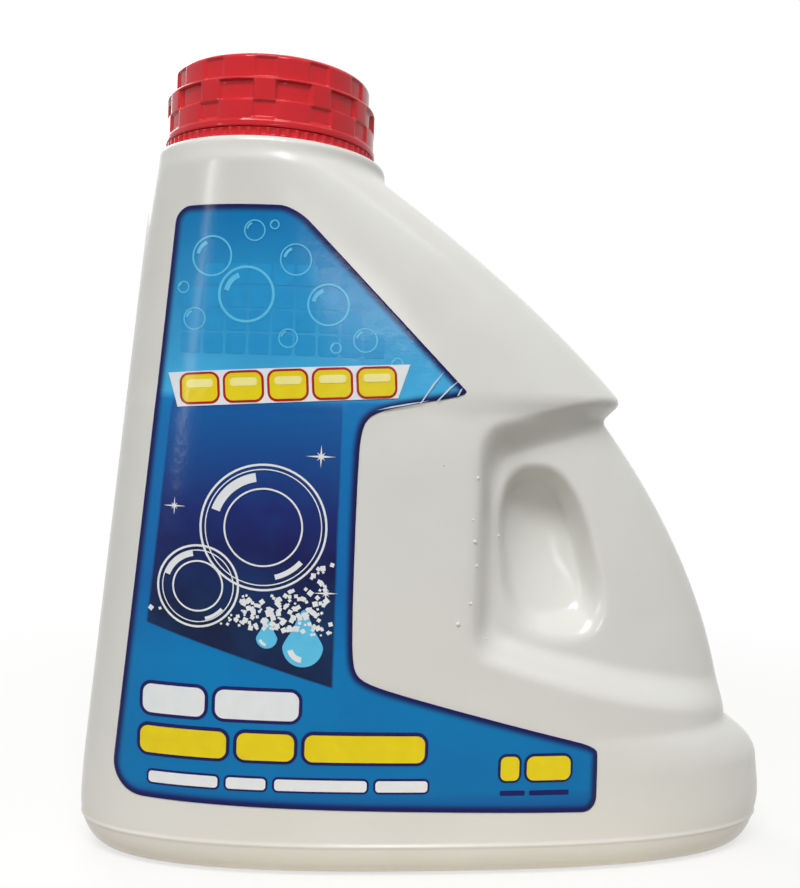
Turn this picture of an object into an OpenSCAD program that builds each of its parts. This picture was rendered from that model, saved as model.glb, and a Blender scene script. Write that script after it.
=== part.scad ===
// Screw-capped plastic bottle of dishwasher salt, with a pinch grip moulded into its sloping side.
// Millimetres, +Z up. The origin is the middle of the base, on the surface that the bottle stands on.
// The bottle's broad front faces -Y, its neck is on the left (-X) and its grip on the right (+X).

/* [Bottle body] */
// Width of the base from side to side
bottle_w = 175; // [165:1:190]
// Depth of the body from front to back
bottle_d = 58.4; // [54:0.2:66]
// Height of the round shoulder that the neck stands on
shoulder_h = 168.8; // [162:0.2:180]
// Thickness of the moulded wall
wall = 1.2; // [1:0.1:1.6]
// Lean of the straight left side towards the neck, in degrees
left_lean = 4.95; // [4:0.05:6]
// Distance from the base's left edge to the neck's axis
neck_inset = 41.6; // [40:0.1:44]
// Diameter of the round collar under the cap
collar_d = 57.6; // [56:0.2:60]
// Radius of the collar's top edge
collar_edge = 1.6; // [1:0.1:2.5]
// Height of the rounded foot
foot_h = 8; // [6:0.5:10]
// How far the foot draws in at the floor
foot_inset = 5.5; // [4:0.5:8]
// How far the foot's two ends draw in at the floor
foot_end_inset = 8; // [6:0.5:10]
// Width of the flat ring that the bottle stands on
stand_ring = 4; // [3:0.5:6]
// Rise of the underside inside the standing ring
push_up = 2.2; // [1:0.1:3]

/* [Sloping side] */
// Height of the wide base at its right end
base_h = 32.1; // [30:0.1:36]
// How far the handle's foot stands in from the base's right end
base_step = 10.2; // [8:0.2:14]
// Slope of the step on top of the base, run over rise
base_slope = 2.05; // [1.6:0.05:2.4]
// Depth of the lip below the shoulder
lip_drop = 55.3; // [50:0.1:60]
// Distance from the base's right end to the lip
lip_inset = 42.3; // [38:0.1:46]
// Undercut of the notch beneath the lip
lip_undercut = 3.4; // [2:0.1:5]
// Height of the lip's rounded underside
lip_height = 5.9; // [5:0.1:8]
// Bow of the handle's outer edge
handle_bow = 6.2; // [4:0.1:8]
// Bow of the roof between the lip and the collar
roof_bow = 3.4; // [2:0.1:5]

/* [Pinch grip] */
// Distance from the base's right end to the recess's left wall
grip_reach = 83.2; // [78:0.2:88]
// Share of the depth that the recess takes from each face
grip_cut = 0.25; // [0.15:0.01:0.3]
// Width of the recess's left wall
grip_wall = 6.2; // [5:0.2:9]
// Height of the sloping ledge above the recess
grip_ledge = 9.5; // [8:0.5:12]
// Height of the sloping step below the recess
grip_step = 8; // [7:0.5:11]
// Width of the finger hollow
hollow_w = 24.8; // [22:0.2:27]
// Height of the finger hollow
hollow_h = 41.2; // [38:0.2:44]
// Half-thickness that is left at the bottom of the finger hollow
hollow_floor = 7.5; // [6:0.5:10]

/* [Neck] */
// Height of the neck above the shoulder
neck_h = 16.8; // [16:0.1:19]
// Diameter of the mouth
mouth_d = 40.4; // [38:0.2:40.8]
// Wall of the neck
neck_wall = 1.6; // [1.2:0.1:1.8]
// Height of the bead that holds the tamper band, above the shoulder
bead_z = 2.6; // [2.5:0.1:3]
// Thickness of that bead
bead_h = 1.2; // [0.8:0.1:1.6]
// How far the bead stands out from the neck
bead_out = 1.5; // [1:0.1:1.8]

/* [Cap] */
// Outer diameter of the cap's wide lower part
cap_d = 52; // [51:0.2:55]
// Outer diameter of the cap's top tier
tier_d = 48.6; // [48:0.2:49.6]
// Wall of the cap's lower part
cap_wall = 1.8; // [1.5:0.1:2]
// Thickness of the cap's top plate
cap_top = 1.5; // [1.2:0.1:2]
// Height of the smooth ring at the cap's lower edge
ring_h = 1.7; // [1.4:0.1:2]
// Height of the lower row of blocks
low_row_h = 4.4; // [4:0.1:4.6]
// Height of the middle row of windows
mid_row_h = 5.2; // [5:0.1:5.6]
// Width of the bevel at the top's edge
cap_bevel = 1.3; // [0.8:0.1:1.6]
// Number of windows round the cap
windows = 12; // [10:1:16]
// Share of each pitch that a window takes
window_share = 0.615; // [0.5:0.005:0.7]
// Depth of the windows
window_cut = 0.7; // [0.4:0.1:0.9]
// Depth of the recesses in the other two rows
block_cut = 0.4; // [0.2:0.1:0.6]
// Thickness of the foam wad inside the cap
liner_t = 1.3; // [1:0.1:1.6]

/* [Tamper band] */
// Height of the band that stays on the neck
band_h = 1.9; // [1.6:0.1:2.2]
// Gap between the shoulder and the band
band_gap = 0.4; // [0.3:0.1:0.5]
// Gap between the band and the cap
cap_gap = 0.2; // [0.2:0.1:0.4]
// Number of fine ribs round the band
ribs = 72; // [48:1:90]
// Height of a rib above the band
rib_out = 0.5; // [0.3:0.1:0.7]

/* [Labels] */
// Thickness of the label film
label_t = 0.15; // [0.1:0.05:0.3]
// Height of the labels' lower edge above the floor
label_low = 17; // [14:0.5:20]
// Height of the labels' upper edge above the floor
label_high = 153; // [145:0.5:155]
// Distance from the bottle's left side to the label's left edge
label_margin = 9.4; // [7:0.1:12]
// Width of the front label's foot
label_foot_w = 114; // [104:0.5:118]
// Width of the front label's slim middle
label_waist_w = 51; // [44:0.5:56]
// Width of the front label's top edge
label_top_w = 27; // [22:1:30]
// Height of the front label's pointed tip above the floor
label_tip_z = 113; // [108:0.5:118]
// Width of the front label at its tip
label_tip_w = 71; // [66:1:74]
// Width of the plain label on the back
back_label_w = 62; // [50:1:66]
// Height of the plain label on the back
back_label_h = 84; // [60:1:90]

/* [Contents] */
// Height of the salt above the floor
fill_z = 118; // [90:1:130]
// Clearance round the salt
salt_clear = 0.5; // [0.3:0.1:0.8]

/* [Hidden] */
$fn = 96;
slip = 0.3;                                   // clearance between pieces that move past each other
cut_over = 0.01;                              // how far a cutting solid runs past the face it cuts
label_gap = 0.25;                             // room for the adhesive and the curve under a label
right_x = bottle_w / 2;
left_x = -bottle_w / 2;
neck_x = left_x + neck_inset;
collar_r = collar_d / 2;
lip_z = shoulder_h - lip_drop;
lip_x = right_x - lip_inset;
notch_z = lip_z - lip_height;
notch_x = lip_x - lip_undercut;
lean_z = 15;                                  // height at which the left side starts to lean
base_taper = 0.12;                            // lean of the base's right end, run over rise
base_taper_z = 12;                            // height at which that lean starts
foot_end_h = [12, 16];                        // height of the foot's rounding at its left and right end
base_blend = 10.5;                            // rounding of the edge on top of the base
handle_blend = 1.6;                           // rounding where the handle's edge leaves the base
handle_run = [8, 4];                          // how far the handle's edge runs on below and above
notch_blend = 2.5;                            // rounding in the notch beneath the lip
lip_blend = 3;                                // rounding of the lip's edge
lip_run = 4.5;                                // how far the roof's line runs on below the lip
roof_end = [1.2, 5.2];                        // where the roof ends, beside and below the collar's edge
side_swell = 0.83;                            // squareness of the long sections, over an ellipse's 2
skin_shift = 0.8;                             // sideways share of an inset, on the grip's sloping walls
grip_x = right_x - grip_reach;
ledge_drop = 6.5;                             // from the lip down to the ledge over the recess
ledge_from = 5.7;                             // from the recess's left wall to where the ledge starts
ledge_slope = 0.25;                           // rise of the ledge to the right
step_rise = 18.4;                             // from the base's top up to the step under the recess
step_from = 2.1;                              // from the recess's left wall to where the step starts
step_slope = 0.36;                            // fall of the step to the right
step_sag = 0.0019;                            // how that fall eases off
grip_top = lip_z - ledge_drop;
grip_low = base_h + step_rise;
hollow_from = 19.9;                           // from the recess's left wall to the hollow's middle
hollow_rise = 2.2;                            // the hollow's middle over the middle of the grip
hollow_x = grip_x + hollow_from;
hollow_z = (base_h + lip_z) / 2 + hollow_rise;
hollow_lean = 0.17;                           // lean of the hollow to the left, run over rise
hollow_taper = 0.11;                          // how its half-width shrinks upwards
hollow_power = 2.8;                           // squareness of its outline
hollow_rim = [1.08, 0.38];                    // where its rounded rim ends, and how wide the rim is
hollow_bowl = 0.55;                           // share of its depth that is bowl, not flat floor
hollow_tilt = [0.78, 0.21, 0.25];             // depth at the middle, and how it grows to the right and up
mouth_z = shoulder_h + neck_h;
neck_r = mouth_d / 2 + neck_wall;
band_z = shoulder_h + band_gap;
cap_z = band_z + band_h + cap_gap;
low_z = cap_z + ring_h;
mid_z = low_z + low_row_h;
tier_z = mid_z + mid_row_h;
liner_z = mouth_z + 0.1;
cap_inside = liner_z + liner_t + 0.1;
cap_high = cap_inside + cap_top;
cap_r = cap_d / 2;
tier_r = tier_d / 2;
cap_bore_r = cap_r - cap_wall;
tier_bore_r = neck_r + 2 * slip;
pitch = 360 / windows;
window_turn = 12.7;                           // angle of a window's middle from +X
ring_out = 0.25;                              // how far the smooth ring stands out from the rows
band_lip = 0.8;                               // thickness of the band's inner lip
label_corner = 8;                             // radius of the front label's lower left corner
label_round = 3.5;                            // radius of the labels' other corners
label_droop = 1.9;                            // fall of the front label's lower edge over its width
label_foot_x = left_x + label_margin + label_foot_w;
label_waist_x = left_edge(label_tip_z / 2) + label_margin + label_waist_w;
label_tip_x = left_edge(label_tip_z) + label_margin + label_tip_w;
label_foot_h = 30.3;                          // height of the foot's upper right corner
ramp_slope = 3.84;                            // of the foot's upper edge, run over rise
wing_slope = 5.5;                             // of the edge under the tip, run over rise
wing_drop = 5.3;                              // from the tip down to where that edge meets the waist
bend = 2;                                     // rounding of the label's two inner corners
tip_blend = 7;                                // rounding of its tip
foot_blend = 5;                               // rounding of its foot's upper right corner
droop_h = 14;                                 // height over which the fall of the lower edge fades
roof_slope = (label_tip_x - left_edge(label_high) - label_margin - label_top_w) / (label_high - label_tip_z);
film_cols = 12;
back_label_z = 22;                            // lower edge of the back label

// Smooth versions of min, max and a step, with k as the width of the blend
function soft_min(a, b, k) = min(a, b) - pow(max(k - abs(a - b), 0) / k, 2) * k / 4;
function soft_max(a, b, k) = -soft_min(-a, -b, k);
function clamp01(t) = min(max(t, 0), 1);
function smooth(t) = let (c = clamp01(t)) c * c * (3 - 2 * c);
// Bowed line from [x0, z0] to [x1, z1]
function bowed(z, x0, z0, x1, z1, bow) =
    let (t = (z - z0) / (z1 - z0)) x0 + (x1 - x0) * t + 4 * bow * t * (1 - t);
function spread(z0, z1, n) = [for (i = [0:n - 1]) z0 + (z1 - z0) * i / n];

// Side view: left and right edge of the body at height z
function left_edge(z) = soft_max(left_x, left_x + tan(left_lean) * (z - lean_z), 1);
function base_edge(z) =
    soft_min(right_x - base_taper * max(z - base_taper_z, 0),
        right_x - base_step + (base_h - z) * base_slope, base_blend);
function handle_edge(z) =
    bowed(min(max(z, base_h - handle_run[0]), notch_z + handle_run[1]),
        right_x - base_step, base_h, notch_x, notch_z, handle_bow);
function roof_edge(z) =
    z < lip_z - lip_run ? bottle_w
    : bowed(z, lip_x, lip_z, neck_x + collar_r + roof_end[0], shoulder_h - roof_end[1], roof_bow);
function right_edge(z) =
    let (edge = soft_max(base_edge(z), handle_edge(z), handle_blend))
    let (under = soft_max(edge, notch_x + z - notch_z, notch_blend))
    soft_max(soft_min(under, roof_edge(z), lip_blend), neck_x + collar_r, lip_blend);

// Rounding of the foot and of the collar's top edge
function rounding(t, size) = size * (1 - sqrt(1 - pow(clamp01(t), 2)));
function foot_round(z, high, inset) = rounding((high - z) / high, inset);
function collar_round(z) = rounding((z - shoulder_h + collar_edge) / collar_edge, collar_edge);

// Horizontal section at height z: [middle x, half-width, half-depth, exponent], round at the collar
function section(z) =
    let (top = collar_round(z))
    let (l = left_edge(z) + foot_round(z, foot_end_h[0], foot_end_inset) + top)
    let (r = right_edge(z) - foot_round(z, foot_end_h[1], foot_end_inset) - top)
    let (a = (r - l) / 2, b = soft_min(bottle_d / 2 - foot_round(z, foot_h, foot_inset) - top, a, 1))
    [(l + r) / 2, a, b, 2 + side_swell * max(1 - b / a, 0)];

// Recess of the pinch grip, from 0 outside to 1 on its floor; it widens for a skin that is drawn in
function recess(x, z, inset) =
    let (side = (x - grip_x + skin_shift * inset) / grip_wall)
    let (ledge = (grip_top + ledge_slope * (x - grip_x - ledge_from) - z + skin_shift * inset) / grip_ledge)
    let (run = x - grip_x - step_from)
    let (step = (z - grip_low + step_slope * run - step_sag * run * run + skin_shift * inset) / grip_step)
    smooth(soft_min(soft_min(side, ledge, 0.9), step, 0.7));

// Finger hollow within the recess, from 0 outside to 1 where it is deepest; it widens in the same way
function hollow(x, z, inset) =
    let (dz = z - hollow_z, v = 2 * dz / hollow_h)
    let (u = (x - hollow_x + hollow_lean * dz) / (hollow_w / 2 - hollow_taper * dz))
    let (reach = pow(pow(abs(u), hollow_power) + pow(abs(v), hollow_power), 1 / hollow_power))
    let (r = reach - 2 * skin_shift * inset / hollow_w)
    let (bowl = 1 - hollow_bowl + hollow_bowl * clamp01(1 - r * abs(r)))
    let (tilt = hollow_tilt[0] + hollow_tilt[1] * u + hollow_tilt[2] * v)
    smooth((hollow_rim[0] - r) / hollow_rim[1]) * bowl * min(tilt, 1.1);

// Half-depth of the body at [x, z], with the whole skin drawn in by inset
function half_depth(x, z, s, inset) =
    let (u = clamp01(abs(x - s[0]) / (s[1] - inset)))
    let (y = (s[2] - inset) * pow(1 - pow(u, s[3]), 1 / s[3]) * (1 - grip_cut * recess(x, z, inset)))
    y + (hollow_floor - inset - y) * min(hollow(x, z, inset), 1);

// Columns of the skin, as angles from the left end (0) to the right end (180). The first run ends at the
// recess's left wall, and the second starts there and is closer together over the wall and the hollow.
left_run = [0, 0.05, 0.13, 0.23, 0.35, 0.49, 0.64, 0.8, 0.95];
right_run = concat(spread(0, 0.1, 5), spread(0.105, 0.48, 12), spread(0.48, 0.9, 4), [0.9, 0.96, 1]);
col_n = len(left_run) + len(right_run);
function wall_angle(s) = acos(-min(max((grip_x - s[0]) / s[1], -0.15), 0.55));
function columns(s) =
    let (g = wall_angle(s)) concat([for (k = left_run) k * g], [for (k = right_run) g + k * (180 - g)]);
function mirrored(front) =
    concat(front, [for (j = [col_n - 2:-1:1]) [front[j][0], -front[j][1], front[j][2]]]);
function skin_ring(z, inset, z_out = undef) =
    let (s = section(z), zz = is_undef(z_out) ? z : z_out)
    mirrored([for (t = columns(s))
        let (x = s[0] - (s[1] - inset) * cos(t)) [x, -half_depth(x, z, s, inset), zz]]);
function circle_ring(r, z) =
    mirrored([for (t = columns(section(shoulder_h - wall))) [neck_x - r * cos(t), -r * sin(t), z]]);

// Heights of the rings
foot_levels = [for (i = [0:4]) foot_h * (1 - cos(90 * i / 4))];
body_levels = concat(spread(foot_h, base_h - 10, 2), spread(base_h - 10, base_h + 2, 6),
    spread(base_h + 2, grip_low + 4, 6), spread(grip_low + 4, grip_top - 11, 12),
    spread(grip_top - 11, lip_z - 5, 5), spread(lip_z - 5, lip_z + 3, 6),
    spread(lip_z + 3, shoulder_h - 7, 6), spread(shoulder_h - 7, shoulder_h - collar_edge, 2));
edge_levels = [for (i = [0:3]) shoulder_h - collar_edge * (1 - sin(90 * i / 3))];
outer_levels = concat([for (i = [0:3]) foot_levels[i]], body_levels, edge_levels);
inner_floor = push_up + wall;
inner_levels = concat([inner_floor + 1.5], [for (i = [0:len(body_levels) - 1])
    let (z = body_levels[i]) if (i % 2 == 0 || (z > base_h - 7 && z < lip_z + 1)) z]);

// Closed solid through rings of equal length, from the lowest up; shared is 1 where both halves of a ring
// meet in its end points
function loft_faces(rings, size, shared) = concat(
    [for (i = [0:rings - 2], j = [0:size - 1])
        let (k = (j + 1) % size, low = i * size, high = low + size)
        each [[low + j, high + k, low + k], [low + j, high + j, high + k]]],
    [for (j = [0:size / 2 - 1]) each end_faces(0, size, j, shared, false)],
    [for (j = [0:size / 2 - 1]) each end_faces((rings - 1) * size, size, j, shared, true)]);
function end_faces(start, size, j, shared, top) =
    let (a = j, b = j + 1, c = (2 * size - b - 1 + shared) % size, d = (2 * size - a - 1 + shared) % size)
    let (tris = [[a, b, c], [a, c, d]])
    [for (t = tris) if (t[0] != t[1] && t[1] != t[2] && t[0] != t[2])
        [for (n = top ? [2, 1, 0] : [0, 1, 2]) start + t[n]]];
module loft(rings, shared = 1) {
    polyhedron([for (r = rings) each r], loft_faces(len(rings), len(rings[0]), shared), convexity = 8);
}

// Rings of the inner skin from the level top down to the floor, drawn in by inset
function inner_skin(inset, top) =
    let (levels = [for (z = inner_levels) if (z < top - 1) z])
    concat([skin_ring(min(top, shoulder_h - 3), inset, top)],
        [for (i = [len(levels) - 1:-1:0]) skin_ring(levels[i], inset)],
        [skin_ring(inner_floor + 1.5, inset + 3, inner_floor + inset - wall)]);

// Blown bottle: outer skin, inner skin, round neck with the bead that holds the tamper band
module bottle() {
    under = [skin_ring(0, stand_ring + 3, push_up), skin_ring(0, stand_ring)];
    outer = [for (z = outer_levels) skin_ring(z, 0)];
    mouth = [circle_ring(mouth_d / 2 - 1, shoulder_h), circle_ring(mouth_d / 2 - 1, shoulder_h - wall)];
    color("whitesmoke")
    difference() {
        union() {
            loft(concat(under, outer, mouth, inner_skin(wall, shoulder_h - wall)));
            translate([neck_x, 0, 0])
            rotate_extrude()
            polygon([[mouth_d / 2 - 0.5, shoulder_h - 0.7], [neck_r, shoulder_h - 0.7],
                [neck_r, shoulder_h + bead_z], [neck_r + bead_out, shoulder_h + bead_z],
                [neck_r + bead_out * 0.6, shoulder_h + bead_z + bead_h], [neck_r, shoulder_h + bead_z + bead_h],
                [neck_r, mouth_z - 0.5], [neck_r - 0.5, mouth_z], [mouth_d / 2 - 0.5, mouth_z]]);
        }
        translate([neck_x, 0, shoulder_h - wall - 2])
        cylinder(h = neck_h + wall + 3, r = mouth_d / 2);
    }
}

// Salt that fills the body up to its level
module salt() {
    rings = inner_skin(wall + salt_clear, fill_z);
    color("white")
    loft([for (i = [len(rings) - 1:-1:0]) rings[i]]);
}

// Front label: left and right edge of its outline at height z
function label_left(z) = left_edge(z) + label_margin
    + rounding((label_low + label_corner - z) / label_corner, label_corner)
    + rounding((z - label_high + label_round) / label_round, label_round);
function bent(t, slope) = slope * (t + sqrt(t * t + bend * bend)) / 2;
function label_ramp(z) = bent(label_foot_h + (label_foot_x - label_waist_x) / ramp_slope - z, ramp_slope);
function label_wing(z) = bent(z - label_tip_z + wing_drop, wing_slope);
function label_roof(z) = label_tip_x - (z - label_tip_z) * roof_slope;
function label_right(z) =
    let (low = soft_min(label_foot_x, label_waist_x + label_ramp(z) + label_wing(z), foot_blend))
    let (high = soft_min(label_waist_x + label_wing(z), label_roof(z), tip_blend))
    (z < label_tip_z - 3 * wing_drop ? low : high)
    - rounding((label_low + label_round - z) / label_round, label_round)
    - rounding((z - label_high + label_round) / label_round, label_round);
// The lower edge falls a little towards the right
function droop(x, z) =
    label_droop * (x - label_left(z)) / label_foot_w * (1 - smooth((z - label_low) / droop_h));

// Thin film that follows the skin: side is -1 on the front and 1 on the back
function film_row(x, z, side, out) = [x, side * (half_depth(x, z, section(z), 0) + out), z];
function film_ring(z, x0, x1, side) =
    let (xs = [for (i = [0:film_cols]) x0 + (x1 - x0) * pow(i / film_cols, 1.5)])
    let (zs = [for (x = xs) side < 0 ? z - droop(x, z) : z])
    concat([for (i = [0:film_cols]) film_row(xs[i], zs[i], side, label_gap + (side < 0 ? label_t : 0))],
        [for (i = [film_cols:-1:0]) film_row(xs[i], zs[i], side, label_gap + (side < 0 ? 0 : label_t))]);

// Front label with its pointed upper half, slim middle and long foot
module front_label() {
    levels = concat([for (i = [0:4]) label_low + label_corner * (1 - cos(90 * i / 4))],
        spread(label_low + label_corner + 2, label_foot_h + 18, 10),
        spread(label_foot_h + 18, label_tip_z - 12, 6),
        spread(label_tip_z - 12, label_tip_z + 4, 12), spread(label_tip_z + 4, label_high - label_round, 6),
        [for (i = [0:3]) label_high - label_round * (1 - sin(90 * i / 3))]);
    color("dodgerblue")
    loft([for (z = levels) film_ring(z, label_left(z), label_right(z), -1)], 0);
}

// Plain label on the back
module back_label() {
    top = back_label_z + back_label_h;
    levels = concat([for (i = [0:3]) back_label_z + label_round * (1 - cos(90 * i / 3))],
        spread(back_label_z + label_round, top - label_round, 12),
        [for (i = [0:3]) top - label_round * (1 - sin(90 * i / 3))]);
    color("deepskyblue")
    loft([for (z = levels)
        let (r = rounding((back_label_z + label_round - z) / label_round, label_round)
            + rounding((z - top + label_round) / label_round, label_round))
        let (left = left_edge(z) + label_margin)
        film_ring(z, left + r, left + back_label_w - r, 1)], 0);
}

// Ribbed ring that stays on the neck; its inner lip hooks under the neck's bead
module tamper_band() {
    step = 360 / ribs;
    rib_r = cap_r - 0.1;
    color("firebrick")
    translate([neck_x, 0, band_z])
    difference() {
        linear_extrude(band_h)
        polygon([for (i = [0:ribs - 1], p = [[-1, rib_out], [-0.6, 0], [0.6, 0], [1, rib_out]])
            let (a = i * step + p[0], r = rib_r - p[1]) [r * cos(a), r * sin(a)]]);
        translate([0, 0, -cut_over])
        cylinder(h = band_h + 2 * cut_over, r = neck_r + 2 * slip);
        translate([0, 0, -cut_over])
        cylinder(h = band_h - band_lip, r = cap_bore_r);
    }
}

// Foam wad that seals the mouth
module cap_liner() {
    color("gainsboro")
    translate([neck_x, 0, liner_z])
    cylinder(h = liner_t, r = tier_bore_r - slip);
}

// Sector of a ring round the neck's axis, for the relief of the cap
module relief_cut(r, depth, z0, z1, share, turn) {
    for (i = [0:windows - 1])
    rotate([0, 0, i * pitch + turn - pitch * share / 2])
    rotate_extrude(angle = pitch * share)
    polygon([[r - depth, z0 + 0.3], [r + 1, z0 - 0.2], [r + 1, z1 + 0.2], [r - depth, z1 - 0.3]]);
}

// Screw cap with a basket-weave relief of windows and blocks in three rows
module cap() {
    row_r = cap_r - ring_out;
    gap_share = 1 - window_share;
    color("crimson")
    translate([neck_x, 0, 0])
    difference() {
        rotate_extrude()
        polygon([[cap_bore_r, cap_z], [cap_r - 0.3, cap_z], [cap_r, cap_z + 0.3], [cap_r, low_z - 0.3],
            [row_r, low_z], [row_r, tier_z - 0.5], [row_r - 0.4, tier_z], [tier_r, tier_z],
            [tier_r, cap_high - cap_bevel], [tier_r - 0.3 * cap_bevel, cap_high - 0.3 * cap_bevel],
            [tier_r - cap_bevel, cap_high], [0, cap_high], [0, cap_inside], [tier_bore_r, cap_inside],
            [tier_bore_r, tier_z - 1], [cap_bore_r, tier_z - 1 - cap_bore_r + tier_bore_r]]);
        relief_cut(row_r, window_cut, mid_z, tier_z - 0.7, window_share, window_turn);
        relief_cut(row_r, block_cut, low_z + 0.3, mid_z - 0.3, gap_share, window_turn + pitch / 2);
        relief_cut(tier_r, block_cut, tier_z + 0.5, cap_high - cap_bevel, gap_share, window_turn + pitch / 2);
    }
}

bottle();
salt();
front_label();
back_label();
tamper_band();
cap_liner();
cap();
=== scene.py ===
import math

import bmesh
import bpy
import numpy as np
from mathutils import Matrix, Vector


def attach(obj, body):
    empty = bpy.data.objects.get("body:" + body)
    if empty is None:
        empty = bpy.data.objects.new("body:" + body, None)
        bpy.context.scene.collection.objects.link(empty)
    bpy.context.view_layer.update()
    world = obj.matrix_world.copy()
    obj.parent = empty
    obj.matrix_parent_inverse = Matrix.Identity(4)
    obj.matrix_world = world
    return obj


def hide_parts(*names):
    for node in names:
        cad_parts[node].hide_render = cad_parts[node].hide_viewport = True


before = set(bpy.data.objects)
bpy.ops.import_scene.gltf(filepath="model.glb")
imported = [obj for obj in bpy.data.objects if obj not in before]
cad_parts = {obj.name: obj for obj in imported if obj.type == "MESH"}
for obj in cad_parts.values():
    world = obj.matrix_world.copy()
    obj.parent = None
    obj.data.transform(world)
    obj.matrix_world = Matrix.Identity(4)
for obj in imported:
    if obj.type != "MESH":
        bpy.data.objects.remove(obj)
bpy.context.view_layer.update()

# Lengths are in millimetres and become metres where the meshes are made. The lamps are placed in metres.
mm = 0.001

print("frame loaded")

# Helpers for numbers

def softMin(a, b, blend):
    near = np.maximum(blend - np.abs(a - b), 0) / blend
    return np.minimum(a, b) - near * near * blend / 4


def softMax(a, b, blend):
    return -softMin(-a, -b, blend)


def smooth(t):
    t = np.clip(t, 0, 1)
    return t * t * (3 - 2 * t)


def bowed(z, x0, z0, x1, z1, bow):  # bowed line from (x0, z0) to (x1, z1)
    t = (z - z0) / (z1 - z0)
    return x0 + (x1 - x0) * t + 4 * bow * t * (1 - t)


def rounding(t, size):  # how far a quarter round of that size draws in
    return size * (1 - np.sqrt(1 - np.clip(t, 0, 1) ** 2))


def spread(*stops):  # numbers from stop to stop: z0, count, z1, count, z2 ...
    parts = [np.linspace(stops[i], stops[i + 2], stops[i + 1], endpoint=False)
             for i in range(0, len(stops) - 2, 2)]
    return np.concatenate(parts + [[stops[-1]]])


def eased(size, count):  # steps from 0 towards size, closest together at 0
    return size * (1 - np.cos(np.linspace(0, math.pi / 2, count)))[:-1]


# Helpers for meshes

def linked(name, data):  # an object in the scene
    made = bpy.data.objects.new(name, data)
    bpy.context.scene.collection.objects.link(made)
    return made


def meshed(name, bm):  # an object from a bmesh
    mesh = bpy.data.meshes.new(name)
    bm.to_mesh(mesh)
    bm.free()
    return linked(name, mesh)


def addMesh(name, points, faces, flat=False):
    mesh = bpy.data.meshes.new(name)
    corners = [tuple(int(i) for i in face) for face in faces]
    mesh.from_pydata([tuple(p) for p in np.asarray(points) * mm], [], corners)
    mesh.validate()
    mesh.update()
    if not flat:
        mesh.polygons.foreach_set("use_smooth", [True] * len(mesh.polygons))
    return linked(name, mesh)


def gridFaces(rows, columns):  # quads of a grid whose rows rise and whose columns close anticlockwise
    i, j = np.meshgrid(np.arange(rows - 1), np.arange(columns), indexing="ij")
    k = (j + 1) % columns
    quads = [i * columns + j, i * columns + k, (i + 1) * columns + k, (i + 1) * columns + j]
    return np.stack(quads, -1).reshape(-1, 4)


def joined(name, pieces):  # one object from several
    bm = bmesh.new()
    for piece in pieces:
        mesh = piece.data
        bm.from_mesh(mesh)
        bpy.data.objects.remove(piece)
        bpy.data.meshes.remove(mesh)
    return meshed(name, bm)


# Helpers for materials

def hexColour(code):  # sRGB hex to linear
    parts = [int(code[i:i + 2], 16) / 255 for i in (1, 3, 5)]
    return tuple(c / 12.92 if c <= 0.04045 else ((c + 0.055) / 1.055) ** 2.4 for c in parts) + (1.0,)


def addNode(tree, kind, inputs=None, **settings):
    made = tree.nodes.new("ShaderNode" + kind)
    for key, value in settings.items():
        setattr(made, key, value)
    for key, value in (inputs or {}).items():
        if isinstance(value, bpy.types.NodeSocket):
            tree.links.new(value, made.inputs[key])
        else:
            made.inputs[key].default_value = value
    return made


def newMaterial(name):
    material = bpy.data.materials.new(name)
    material.use_nodes = True
    return material, material.node_tree, material.node_tree.nodes["Principled BSDF"]


# Bottle

bottle = {
    "width": 175.0, "depth": 58.4, "shoulder": 168.8, "wall": 1.2, "squareness": 0.83,
    "lean": 4.95, "leanFrom": 15.0, "neckInset": 41.6, "collar": 28.8, "collarEdge": 1.6,
    "foot": 8.0, "footInset": 5.5, "footEnds": (12.0, 16.0), "footEndInset": 8.0, "standRing": 4.0, "pushUp": 2.2,
    "baseHeight": 32.1, "baseStep": 10.2, "baseSlope": 2.05, "baseBlend": 10.5, "taper": 0.12, "taperFrom": 12.0,
    "lipDrop": 55.3, "lipInset": 42.3, "lipUndercut": 3.4, "lipHeight": 5.9, "lipBlend": 2.5, "lipTop": 4.5,
    "handleBow": 6.2, "handleBlend": 1.6, "roofBow": 3.4, "roofEnd": (1.2, 5.2), "roofBlend": 3.0,
    "gripReach": 83.2, "gripCut": 0.25, "gripWall": 6.2, "gripBlend": 0.9, "skinShift": 0.8,
    "gripLedge": 9.5, "ledgeDrop": 6.5, "ledgeTilt": 0.25, "ledgeFrom": 5.7,
    "gripStep": 8.0, "stepRise": 18.4, "stepFall": 0.36, "stepCurve": 0.0019, "stepFrom": 2.1, "stepBlend": 0.7,
    "hollowWidth": 24.8, "hollowHeight": 41.2, "hollowFloor": 7.5, "hollowIn": 19.9, "hollowRise": 2.2,
    "hollowLean": 0.17, "hollowNarrow": 0.11, "hollowPower": 2.8, "hollowRim": (1.08, 0.38), "hollowBowl": 0.55,
    "hollowDeep": (0.78, 0.21, 0.25, 1.1),
    "neckHeight": 16.8, "mouth": 20.2, "neckWall": 1.6, "beadZ": 2.6, "beadOut": 1.5,
    "seamZ": 7.8, "seamOut": 0.28, "seamWide": 0.45, "partingOut": 0.1,
    "lead": 4.2, "threadFrom": 174.2, "threadTurns": 1.45, "threadOut": 1.45,
    "pips": [(4.8, 93.2, 0.42), (4.5, 78.5, 0.5), (5.2, 72.9, 0.36), (4.0, 64.2, 0.42), (1.2, 59.4, 0.62),
             (11.7, 79.1, 0.36), (8.5, 55.2, 0.34), (-3.4, 96.0, 0.3), (3.8, 83.5, 0.28)],
}
rightX = bottle["width"] / 2
leftX = -rightX
neckX = leftX + bottle["neckInset"]
collarX = neckX + bottle["collar"]
shoulderZ = bottle["shoulder"]
lipZ = shoulderZ - bottle["lipDrop"]
lipX = rightX - bottle["lipInset"]
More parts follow.
